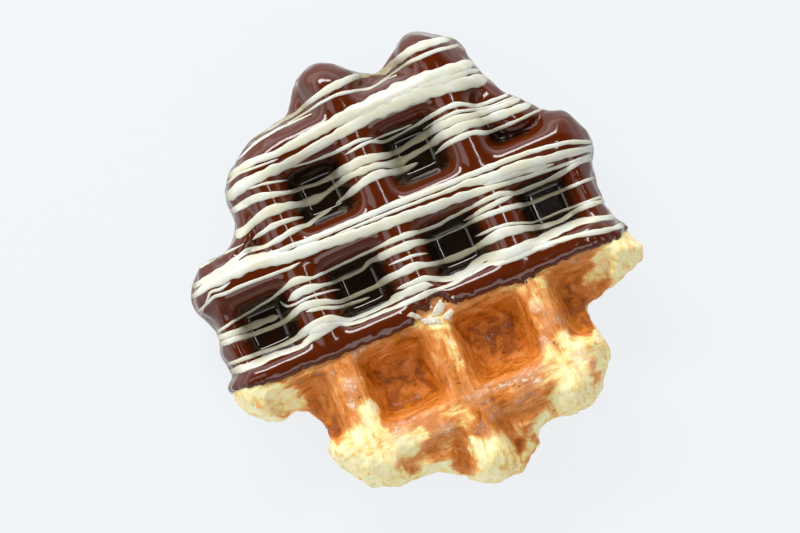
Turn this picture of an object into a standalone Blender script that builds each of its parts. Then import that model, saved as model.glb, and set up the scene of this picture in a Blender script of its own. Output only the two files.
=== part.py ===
"""Belgian waffle of the Liege kind, coated for two thirds in dark chocolate with white chocolate drizzle.

The frame has X along the pocket rows, Y across them towards the coated end, and Z up. The waffle lies
on Z = 0, with its origin under the middle of its bounding box.
"""

import bmesh
import bpy
import numpy as np
from mathutils import Vector, noise

MM = 0.001

# The iron: a square grid of tapered studs on both plates, which leave pockets with ribs between them.
PITCH = 25.2 * MM
RIB_CENTRE = Vector((-0.4, 12.5)) * MM
HEIGHT = 24.0 * MM
POCKET_DEPTH = 9.0 * MM
POCKET_MOUTH = 19.4 * MM
POCKET_FLOOR = 11.4 * MM
POCKET_CORNER_POWER = 6.0
POCKET_EDGE = 0.3

# The dough: it bulges past the iron as a round rim, and what was free of the iron is lumpy.
RIM_WIDTH = 8.5 * MM
SWELL = 0.9 * MM
SOFTENING = 2.0 * MM
LUMP_SIZE = 6.0 * MM
LUMP_HEIGHT = 0.7 * MM
SEAT_CUT = 0.35 * MM
TABLE_SIZE = 200 * MM

# Places at the rim where a stud left a dent rather than a pocket: x, y, radius and the share of depth lost.
SHALLOW_MM = (
    (38.5, 27.5, 10.0, 0.75),
    (-38.0, 26.0, 10.0, 0.8),
    (12.0, -43.5, 9.0, 0.65),
    (-13.0, -43.5, 9.0, 0.6),
    (32.0, -43.5, 7.0, 0.8),
)

# The chocolate: a coat over the top and sides that ends at the dip line, and just above the table.
COAT = 1.3 * MM
COAT_GAP = 0.3 * MM
INNER_SLACK = 0.4 * MM
COAT_FOOT = 4.5 * MM
FOOT_WAVE = 1.1 * MM
FOOT_WAVE_SIZE = 9.0 * MM
SKIRT_DEPTH = 2.8 * MM
DIP_REACH = 60 * MM
DIP_COLUMNS = 60
DIP_ROWS = 36
DRIZZLE_RISE = 0.5 * MM
DRIZZLE_FOOT = 13.5 * MM
DRIZZLE_SAG = 0.4 * MM

# The mesh: the cell of the first grid, that of the remeshed surface, and the triangles that stay.
CELL = PITCH / 36
VOXEL = 0.75 * MM
WAFFLE_FACES = 4500
INNER_FACES = 3200
SHARP_DEGREES = 50
SKIN_FACES = 2700

# The outline from above, anticlockwise from the right-hand lobe: a point for each tip, flank and notch.
OUTLINE_MM = (
    (51.7, 14.8), (49.3, 19.2), (44.8, 21.3), (41.2, 25.8), (36.2, 32.2), (33.9, 39.5), (32.2, 45.6),
    (27.5, 49.2), (21.5, 51.5), (16.6, 49.0), (11.8, 46.2), (7.6, 47.4), (3.0, 51.8), (-3.6, 53.7),
    (-9.0, 51.2), (-12.2, 46.0), (-19.5, 44.1), (-26.0, 41.4), (-31.5, 37.2), (-35.0, 32.0),
    (-35.6, 25.8), (-39.5, 20.5), (-46.5, 20.2), (-49.9, 16.5), (-52.2, 10.4), (-50.0, 3.8),
    (-50.9, -2.5), (-50.6, -8.0), (-52.3, -12.0), (-50.6, -18.6), (-44.7, -22.8), (-38.6, -22.9),
    (-35.6, -27.1), (-35.0, -31.8), (-36.3, -35.8), (-34.2, -41.2), (-30.3, -46.0), (-24.0, -48.9),
    (-14.0, -49.4), (-8.6, -53.2), (-3.8, -57.7), (3.4, -57.4), (10.0, -54.0), (12.4, -50.3),
    (17.0, -48.9), (22.5, -50.3), (28.7, -48.5), (33.2, -43.8), (36.0, -36.9), (34.9, -30.8),
    (35.0, -27.4), (39.6, -26.3), (44.0, -24.7), (51.0, -22.6), (53.6, -19.6), (51.3, -14.2),
    (49.6, -9.0), (49.1, -1.0), (50.2, 4.6), (52.5, 8.6),
)
OUTLINE_STEPS = 8
# The outline was measured at the scale of the top face. The rim's widest line lies lower, so it is a
# little larger about this middle, and beside the grid of the top face.
OUTLINE_MIDDLE = np.array((-2.7, 0.0)) * MM
OUTLINE_SCALE = 1.0155
OUTLINE_SHIFT = np.array((0.5, 1.2)) * MM

# Where the chocolate ends, from left to right, with the chipped place on the middle rib.
DIP_LINE_MM = (
    (-60, -9.5), (-52, -10.5), (-47, -12.2), (-41, -13.6), (-30, -13.8), (-20, -14.0), (-9, -14.9),
    (-5.5, -14.6), (-3.0, -11.2), (0.5, -11.0), (3.0, -10.2), (6.0, -13.6), (12, -14.3), (20, -15.1),
    (31, -15.0), (40, -15.1), (46, -15.0), (51, -12.8), (60, -12.0),
)

# The thick strands of drizzle: (x, y, width) at a few places along each, from left to right.
STRANDS_MM = (
    ((-33, 36.8, 1.2), (-15, 37.8, 1.9), (0, 39.0, 2.4), (17, 40.0, 2.8), (34, 39.0, 2.4)),
    ((-36, 32.9, 2.4), (-24, 34.2, 1.8), (0, 36.5, 2.2), (17, 37.0, 3.0), (36, 34.3, 2.6)),
    ((-36, 28.8, 1.2), (-26, 29.8, 1.5), (0, 27.5, 2.2), (24, 27.3, 2.2), (41, 26.8, 1.1)),
    ((-38, 23.2, 2.0), (-26, 25.1, 2.2), (0, 25.0, 1.4), (24, 25.5, 2.0), (43, 24.2, 1.5)),
    ((-49, 13.6, 1.3), (-36, 14.6, 2.8), (-22, 12.8, 2.3), (0, 11.0, 2.0), (29, 8.6, 1.5)),
    ((15, 12.3, 1.0), (30, 11.0, 2.2), (52, 8.0, 1.5)),
    ((-51, 0.4, 1.8), (-26, 0.2, 1.4), (0, -1.2, 1.5), (24, -2.3, 1.9), (50, -4.4, 1.1)),
    ((-31, -5.6, 1.4), (-26, -6.2, 3.2), (-16, -6.4, 1.1), (0, -6.2, 1.9), (24, -7.3, 2.0),
     (46, -7.6, 1.4)),
    ((-51, -7.6, 1.8), (-32, -8.2, 1.3), (0, -8.8, 1.6), (24, -9.3, 1.4), (40, -10.2, 1.7),
     (51, -11.4, 1.6)),
)
STRAND_STEP = 2.6 * MM
STRAND_TIP = 0.4
SPAN_STEPS = 16


def smoothstep(value):
    share = np.clip(value, 0.0, 1.0)
    return share * share * (3.0 - 2.0 * share)


def smooth_min(a, b, width):
    """The lower of two heights, with the crease between them rounded over width."""
    share = np.clip(0.5 + 0.5 * (b - a) / width, 0.0, 1.0)
    return b + (a - b) * share - width * share * (1.0 - share)


def smooth_through(points, steps, closed):
    """A Catmull-Rom curve through rows of numbers, with steps points for each span."""
    points = np.asarray(points, float)
    if closed:
        before, after, ahead = (np.roll(points, shift, 0) for shift in (1, -1, -2))
        start = points
    else:
        padded = np.vstack((2 * points[0] - points[1], points, 2 * points[-1] - points[-2]))
        before, start, after, ahead = padded[:-3], padded[1:-2], padded[2:-1], padded[3:]
    spans = []
    for share in np.arange(steps) / steps:
        spans.append(
            0.5
            * (
                2 * start
                + (after - before) * share
                + (2 * before - 5 * start + 4 * after - ahead) * share**2
                + (3 * start - 3 * after + ahead - before) * share**3
            )
        )
    curve = np.stack(spans, 1).reshape(-1, points.shape[1])
    return curve if closed else np.vstack((curve, points[-1]))


def dip_y(x):
    """Where the coat ends across the waffle, at each x."""
    line = np.array(DIP_LINE_MM) * MM
    return np.interp(x, line[:, 0], line[:, 1])


def dough_outline():
    """The dough's own outline: the one seen, drawn in by the coat where chocolate covers it."""
    seen = smooth_through(np.array(OUTLINE_MM) * MM, OUTLINE_STEPS, closed=True)
    rim = OUTLINE_MIDDLE + (seen - OUTLINE_MIDDLE) * OUTLINE_SCALE + OUTLINE_SHIFT
    along = np.roll(seen, -1, 0) - np.roll(seen, 1, 0)
    along /= np.linalg.norm(along, axis=1)[:, None]
    inward = np.stack((-along[:, 1], along[:, 0]), 1)
    coated = smoothstep((seen[:, 1] - dip_y(seen[:, 0])) / (3 * MM) + 0.5)
    return rim + inward * (coated * (COAT + COAT_GAP))[:, None]


def inside_distance(points, outline):
    """How far each point lies inside the outline, negative outside, and the nearest point on it."""
    start, end = outline, np.roll(outline, -1, 0)
    edge = end - start
    best = np.full(len(points), np.inf)
    nearest = np.zeros_like(points)
    crossings = np.zeros(len(points), int)
    for a, b, ab in zip(start, end, edge):
        share = np.clip((points - a) @ ab / (ab @ ab), 0, 1)
        foot = a + share[:, None] * ab
        away = np.linalg.norm(points - foot, axis=1)
        closer = away < best
        best[closer] = away[closer]
        nearest[closer] = foot[closer]
        spans = (a[1] > points[:, 1]) != (b[1] > points[:, 1])
        if a[1] != b[1]:
            cross_x = a[0] + (points[:, 1] - a[1]) * ab[0] / ab[1]
            crossings += spans & (points[:, 0] < cross_x)
    return np.where(crossings % 2 == 1, best, -best), nearest


def pocket_share(x, y):
    """1 on a pocket's floor, 0 on a rib, and even slopes between; less where the dent is shallow."""
    from_middle_x = np.abs((x - RIB_CENTRE.x) % PITCH - PITCH / 2)
    from_middle_y = np.abs((y - RIB_CENTRE.y) % PITCH - PITCH / 2)
    power = POCKET_CORNER_POWER
    from_middle = (from_middle_x**power + from_middle_y**power) ** (1 / power)
    slope = (POCKET_MOUTH / 2 - from_middle) * 2 / (POCKET_MOUTH - POCKET_FLOOR)
    share = -smooth_min(-smooth_min(slope, 1.0, POCKET_EDGE), 0.0, POCKET_EDGE)
    for middle_x, middle_y, radius, lost in np.array(SHALLOW_MM) * (MM, MM, MM, 1):
        away = np.hypot(x - middle_x, y - middle_y)
        share = share * (1 - lost * smoothstep(2 - 2 * away / radius))
    return share


def half_thickness(x, y, inside):
    """Half the dough's thickness: a swollen round-rimmed patty, pressed down by the iron."""
    rim = np.clip(inside / RIM_WIDTH, 0.0, 1.0)
    patty = (HEIGHT / 2 + SWELL) * np.sqrt(1 - (1 - rim) ** 2)
    pressed = HEIGHT / 2 - POCKET_DEPTH * pocket_share(x, y)
    return np.where(inside <= 0, 0.0, np.maximum(smooth_min(patty, pressed, SOFTENING), 0.0))


def new_object(name, mesh, collection):
    obj = bpy.data.objects.new(name, mesh)
    collection.objects.link(obj)
    return obj


def coordinates(mesh):
    values = np.empty(len(mesh.vertices) * 3)
    mesh.vertices.foreach_get("co", values)
    return values.reshape(-1, 3)


def normals(mesh):
    values = np.empty(len(mesh.vertices) * 3)
    mesh.vertex_normals.foreach_get("vector", values)
    return values.reshape(-1, 3)


def set_coordinates(mesh, points):
    mesh.vertices.foreach_set("co", np.asarray(points, np.float32).ravel())
    mesh.update()


def apply_modifiers(obj):
    """Replaces the object's mesh with the one its modifiers give."""
    graph = bpy.context.evaluated_depsgraph_get()
    mesh = bpy.data.meshes.new_from_object(obj.evaluated_get(graph))
    obj.modifiers.clear()
    obj.data = mesh


def remesh(obj, smooth_rounds):
    """An even skin of small squares over the object, then a little smoothing."""
    skin = obj.modifiers.new("skin", "REMESH")
    skin.mode = "VOXEL"
    skin.voxel_size = VOXEL
    soft = obj.modifiers.new("soft", "SMOOTH")
    soft.factor = 0.5
    soft.iterations = smooth_rounds
    apply_modifiers(obj)


def thin_out(obj, faces):
    """Fewer, larger triangles where the surface is plain."""
    fewer = obj.modifiers.new("fewer", "DECIMATE")
    obj.data.calc_loop_triangles()
    fewer.ratio = faces / len(obj.data.loop_triangles)
    apply_modifiers(obj)


def boolean(obj, other, operation):
    step = obj.modifiers.new(operation.lower(), "BOOLEAN")
    step.solver = "EXACT"
    step.operation = operation
    step.object = other
    apply_modifiers(obj)


def keep_main_body(obj):
    """Drops the crumbs that a Boolean leaves beside the body."""
    bm = bmesh.new()
    bm.from_mesh(obj.data)
    unseen, bodies = set(bm.verts), []
    while unseen:
        body, edge_of_body = set(), [unseen.pop()]
        while edge_of_body:
            vert = edge_of_body.pop()
            body.add(vert)
            beside = {edge.other_vert(vert) for edge in vert.link_edges} & unseen
            edge_of_body += beside
            unseen -= beside
        bodies.append(body)
    bodies.sort(key=len)
    for crumb in bodies[:-1]:
        bmesh.ops.delete(bm, geom=list(crumb), context="VERTS")
    bm.to_mesh(obj.data)
    bm.free()


def copy_swollen(name, source, by, collection):
    """A copy of the object whose surface stands out by a distance."""
    mesh = source.data.copy()
    set_coordinates(mesh, coordinates(mesh) + normals(mesh) * by)
    return new_object(name, mesh, collection)


def pressed_dough(collection):
    """The dough as two sheets of a fine grid, bulged and pocketed, which meet along the outline."""
    outline = dough_outline()
    low, high = outline.min(0) - CELL, outline.max(0) + CELL
    counts = np.ceil((high - low) / CELL).astype(int)
    bm = bmesh.new()
    bmesh.ops.create_grid(bm, x_segments=counts[0], y_segments=counts[1], size=0.5)
    flat = np.array([vert.co[:2] for vert in bm.verts])
    flat = low + (flat + 0.5) * counts * CELL
    for vert, place in zip(bm.verts, flat):
        vert.co = (place[0], place[1], 0.0)
    inside, _ = inside_distance(flat, outline)
    outside = [vert for vert, depth in zip(list(bm.verts), inside) if depth < CELL / 3]
    bmesh.ops.delete(bm, geom=outside, context="VERTS")
    loners = [vert for vert in bm.verts if not vert.link_faces]
    bmesh.ops.delete(bm, geom=loners, context="VERTS")
    flat = np.array([vert.co[:2] for vert in bm.verts])
    inside, nearest = inside_distance(flat, outline)
    height = half_thickness(flat[:, 0], flat[:, 1], inside)
    for vert, half, edge_point in zip(bm.verts, height, nearest):
        if vert.is_boundary:
            vert.co = (edge_point[0], edge_point[1], 0.0)
        else:
            vert.co.z = half
    under = bmesh.ops.duplicate(bm, geom=bm.verts[:] + bm.faces[:])["geom"]
    under_verts = [item for item in under if isinstance(item, bmesh.types.BMVert)]
    for vert in under_verts:
        vert.co.z = -vert.co.z
    bmesh.ops.remove_doubles(bm, verts=bm.verts, dist=CELL / 100)
    bmesh.ops.recalc_face_normals(bm, faces=bm.faces)
    for vert in bm.verts:
        vert.co.z += HEIGHT / 2
    mesh = bpy.data.meshes.new("dough")
    bm.to_mesh(mesh)
    bm.free()
    return new_object("dough", mesh, collection), outline


def raise_lumps(obj, outline):
    """Uneven lumps on the rim, where the dough swelled free of the iron."""
    points = coordinates(obj.data)
    inside, _ = inside_distance(points[:, :2], outline)
    free = 1 - smoothstep(inside / RIM_WIDTH)
    lumps = np.array([noise.fractal(Vector(point) / LUMP_SIZE, 0.8, 2.0, 3) for point in points])
    set_coordinates(obj.data, points + normals(obj.data) * (lumps * free * LUMP_HEIGHT)[:, None])


def table_block(collection):
    """The table, just high enough that the underside's ribs are pressed flat on it."""
    bm = bmesh.new()
    bmesh.ops.create_cube(bm, size=TABLE_SIZE)
    bmesh.ops.translate(bm, vec=(0, 0, SEAT_CUT - TABLE_SIZE / 2), verts=bm.verts)
    mesh = bpy.data.meshes.new("table")
    bm.to_mesh(mesh)
    bm.free()
    return new_object("table", mesh, collection)


def dip_block(outline, collection):
    """The space that was dipped. Its front wall follows the dip line. Its floor is a wave just above the
    table along the rim, and climbs to mid-height further in, so that no chocolate is left underneath."""
    bm = bmesh.new()
    bmesh.ops.create_grid(bm, x_segments=DIP_COLUMNS, y_segments=DIP_ROWS, size=0.5)
    plan = np.array([vert.co[:2] for vert in bm.verts]) + 0.5
    x = DIP_REACH * (2 * plan[:, 0] - 1)
    front = dip_y(x)
    y = front + plan[:, 1] * (DIP_REACH - front)
    inside, _ = inside_distance(np.stack((x, y), 1), outline)
    climb = smoothstep((inside - SKIRT_DEPTH) / (SKIRT_DEPTH / 3))
    for vert, px, py, share in zip(bm.verts, x, y, climb):
        foot = COAT_FOOT + FOOT_WAVE * noise.noise(Vector((px, py, 0)) / FOOT_WAVE_SIZE)
        vert.co = (px, py, foot + (HEIGHT / 2 - foot) * share)
    raised = bmesh.ops.extrude_face_region(bm, geom=bm.faces[:])["geom"]
    for item in raised:
        if isinstance(item, bmesh.types.BMVert):
            item.co.z = 2 * HEIGHT
    bmesh.ops.recalc_face_normals(bm, faces=bm.faces)
    mesh = bpy.data.meshes.new("dip_block")
    bm.to_mesh(mesh)
    bm.free()
    return new_object("dip_block", mesh, collection)


def strand_prism(name, stations, collection):
    """An upright prism over one strand of drizzle, with tapered ends, drawn as a filled flat curve."""
    stations = np.array(stations) * MM
    length = stations[-1, 0] - stations[0, 0]
    dense = smooth_through(stations, SPAN_STEPS, closed=False)
    x = np.linspace(stations[0, 0], stations[-1, 0], max(4, int(length / STRAND_STEP)))
    y, width = (np.interp(x, dense[:, 0], dense[:, column]) for column in (1, 2))
    y -= DRIZZLE_SAG * pocket_share(x, y)
    half = width / 2
    half[[0, -1]] *= STRAND_TIP
    edge = np.concatenate((np.stack((x, y - half), 1), np.stack((x, y + half), 1)[::-1]))
    outline = bpy.data.curves.new(name, "CURVE")
    outline.dimensions = "2D"
    outline.fill_mode = "BOTH"
    outline.extrude = HEIGHT / 2
    spline = outline.splines.new("POLY")
    spline.points.add(len(edge) - 1)
    spline.use_cyclic_u = True
    for point, (px, py) in zip(spline.points, edge):
        point.co = (px, py, 0.0, 1.0)
    curve = new_object(name + "_outline", outline, collection)
    curve.location.z = DRIZZLE_FOOT + HEIGHT / 2
    bpy.context.view_layer.update()
    mesh = bpy.data.meshes.new_from_object(curve.evaluated_get(bpy.context.evaluated_depsgraph_get()))
    mesh.transform(curve.matrix_world)
    bpy.data.objects.remove(curve)
    bm = bmesh.new()
    bm.from_mesh(mesh)
    bmesh.ops.remove_doubles(bm, verts=bm.verts, dist=MM / 1000)
    bmesh.ops.recalc_face_normals(bm, faces=bm.faces)
    bm.to_mesh(mesh)
    bm.free()
    return new_object(name, mesh, collection)


def all_strands(collection):
    """Every strand's prism, joined into one closed cutter."""
    prisms = [strand_prism(f"strand_{n}", stations, collection) for n, stations in enumerate(STRANDS_MM)]
    first = prisms[0]
    for other in prisms[1:]:
        boolean(first, other, "UNION")
        bpy.data.objects.remove(other)
    return first


def material(name, colour, roughness):
    made = bpy.data.materials.new(name)
    made.use_nodes = True
    shader = made.node_tree.nodes["Principled BSDF"]
    shader.inputs["Base Color"].default_value = (*colour, 1.0)
    shader.inputs["Roughness"].default_value = roughness
    shader.inputs["Metallic"].default_value = 0.0
    return made


def finish(obj, made):
    obj.data.materials.clear()
    obj.data.materials.append(made)
    obj.data.shade_smooth()
    obj.data.set_sharp_from_angle(angle=np.radians(SHARP_DEGREES))


def seen_box(*objects):
    """The lowest and highest corner of the objects together."""
    points = np.concatenate([coordinates(obj.data) for obj in objects])
    return points.min(0), points.max(0)


def main():
    for obj in list(bpy.data.objects):
        bpy.data.objects.remove(obj)
    parts = bpy.data.collections.new("belgian_waffle")
    cutters = bpy.data.collections.new("cutters")
    bpy.context.scene.collection.children.link(parts)
    bpy.context.scene.collection.children.link(cutters)
    cutters.hide_render = True

    dough, outline = pressed_dough(cutters)
    remesh(dough, smooth_rounds=3)
    raise_lumps(dough, outline)

    waffle = new_object("waffle", dough.data.copy(), parts)
    thin_out(waffle, WAFFLE_FACES)
    boolean(waffle, table_block(cutters), "DIFFERENCE")

    inner = copy_swollen("under_the_coat", dough, COAT_GAP + INNER_SLACK, cutters)
    thin_out(inner, INNER_FACES)
    coat = copy_swollen("chocolate_coat", dough, COAT + COAT_GAP, parts)
    remesh(coat, smooth_rounds=5)
    thin_out(coat, SKIN_FACES)
    thick = copy_swollen("drizzle_skin", coat, DRIZZLE_RISE, cutters)
    boolean(coat, dip_block(outline, cutters), "INTERSECT")
    strands = all_strands(cutters)
    boolean(strands, thick, "INTERSECT")
    boolean(coat, strands, "UNION")
    boolean(coat, inner, "DIFFERENCE")
    keep_main_body(coat)

    low, high = seen_box(waffle, coat)
    middle = (low + high) / 2
    for obj in (waffle, coat):
        set_coordinates(obj.data, coordinates(obj.data) - (middle[0], middle[1], SEAT_CUT))
    finish(waffle, material("baked_dough", (0.62, 0.30, 0.09), 0.55))
    finish(coat, material("dark_chocolate", (0.07, 0.02, 0.008), 0.2))


main()
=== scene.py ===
"""Looks of a belgian waffle: browned crust, glossy dark chocolate coat, white chocolate drizzle, glaze bits.

A Blender add-on that is run as a script. Each operator makes one group of pieces from the settings in the
sidebar. Lengths are in metres. The tables of measured places are in millimetres, in the measuring frame:
to_row_frame goes from there to the row frame.
"""

import math

import bmesh
import bpy
import numpy as np
from bpy.props import FloatProperty, FloatVectorProperty, IntProperty, PointerProperty
from mathutils import Matrix, Vector, noise
from mathutils.bvhtree import BVHTree


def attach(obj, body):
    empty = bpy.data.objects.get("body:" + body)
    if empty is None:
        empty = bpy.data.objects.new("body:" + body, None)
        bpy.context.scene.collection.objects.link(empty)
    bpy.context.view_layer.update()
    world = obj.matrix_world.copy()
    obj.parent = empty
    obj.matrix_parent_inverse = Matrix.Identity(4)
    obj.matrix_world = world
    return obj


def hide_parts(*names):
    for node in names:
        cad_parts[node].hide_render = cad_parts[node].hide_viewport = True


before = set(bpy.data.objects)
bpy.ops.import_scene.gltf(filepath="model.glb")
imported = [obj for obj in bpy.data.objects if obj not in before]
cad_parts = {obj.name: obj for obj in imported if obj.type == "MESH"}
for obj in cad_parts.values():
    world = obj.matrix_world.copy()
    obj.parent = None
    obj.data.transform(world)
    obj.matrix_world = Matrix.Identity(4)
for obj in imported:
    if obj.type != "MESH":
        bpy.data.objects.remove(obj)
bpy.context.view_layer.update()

bl_info = {
    "name": "Belgian waffle",
    "version": (1, 0, 0),
    "blender": (4, 5, 0),
    "location": "View3D > Sidebar > Waffle",
    "description": "Builds a coated waffle with drizzle around its packed solids",
    "category": "Object",
}

MM = 0.001

# The forms that the solids have too: the iron's grid, the dough and the coat. Last comes the view's middle.
MIDDLE = np.array((0.7832, -0.7571)) * MM
PITCH = 25.2 * MM
RIB_CENTRE = np.array((-0.4, 12.5)) * MM
HEIGHT = 24.0 * MM
POCKET_DEPTH = 9.0 * MM
POCKET_MOUTH = 19.4 * MM
POCKET_FLOOR = 11.4 * MM
POCKET_CORNER_POWER = 6.0
POCKET_EDGE = 0.3
RIM_WIDTH = 8.5 * MM
SWELL = 0.9 * MM
SOFTENING = 2.0 * MM
LUMP_SIZE = 6.0 * MM
LUMP_HEIGHT = 0.7 * MM
SEAT_CUT = 0.35 * MM
COAT_FOOT = 4.5 * MM
FOOT_WAVE = 1.1 * MM
FOOT_WAVE_SIZE = 9.0 * MM
SKIRT_DEPTH = 2.8 * MM
DIP_REACH = 60 * MM
DIP_INSET = 1.3 * MM
INNER_TRIANGLES = 9000
VIEW_MIDDLE = (-2.675 * MM, -0.03 * MM)

SHALLOW_MM = (
    (38.5, 27.5, 10.0, 0.75),
    (-38.0, 26.0, 10.0, 0.8),
    (12.0, -43.5, 9.0, 0.65),
    (-13.0, -43.5, 9.0, 0.6),
    (32.0, -43.5, 7.0, 0.8),
)
OUTLINE_MM = (
    (51.7, 14.8), (49.3, 19.2), (44.8, 21.3), (41.2, 25.8), (36.2, 32.2), (33.9, 39.5), (32.2, 45.6),
    (27.5, 49.2), (21.5, 51.5), (16.6, 49.0), (11.8, 46.2), (7.6, 47.4), (3.0, 51.8), (-3.6, 53.7),
    (-9.0, 51.2), (-12.2, 46.0), (-19.5, 44.1), (-26.0, 41.4), (-31.5, 37.2), (-35.0, 32.0), (-35.6, 25.8),
    (-39.5, 20.5), (-46.5, 20.2), (-49.9, 16.5), (-52.2, 10.4), (-50.0, 3.8), (-50.9, -2.5), (-50.6, -8.0),
    (-52.3, -12.0), (-50.6, -18.6), (-44.7, -22.8), (-38.6, -22.9), (-35.6, -27.1), (-35.0, -31.8),
    (-36.3, -35.8), (-34.2, -41.2), (-30.3, -46.0), (-24.0, -48.9), (-14.0, -49.4), (-8.6, -53.2),
    (-3.8, -57.7), (3.4, -57.4), (10.0, -54.0), (12.4, -50.3), (17.0, -48.9), (22.5, -50.3), (28.7, -48.5),
    (33.2, -43.8), (36.0, -36.9), (34.9, -30.8), (35.0, -27.4), (39.6, -26.3), (44.0, -24.7), (51.0, -22.6),
    (53.6, -19.6), (51.3, -14.2), (49.6, -9.0), (49.1, -1.0), (50.2, 4.6), (52.5, 8.6),
)
OUTLINE_STEPS = 8
OUTLINE_MIDDLE = np.array((-2.7, 0.0)) * MM
OUTLINE_SCALE = 1.0155
OUTLINE_SHIFT = np.array((0.5, 1.2)) * MM
DIP_LINE_MM = (
    (-60, -9.5), (-52, -10.5), (-47, -12.2), (-41, -13.6), (-30, -13.8), (-20, -14.0), (-9, -14.9),
    (-5.5, -14.6), (-3.0, -11.2), (0.5, -11.0), (3.0, -10.2), (6.0, -13.6), (12, -14.3), (20, -15.1),
    (31, -15.0), (40, -15.1), (46, -15.0), (51, -12.8), (60, -12.0),
)

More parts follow.
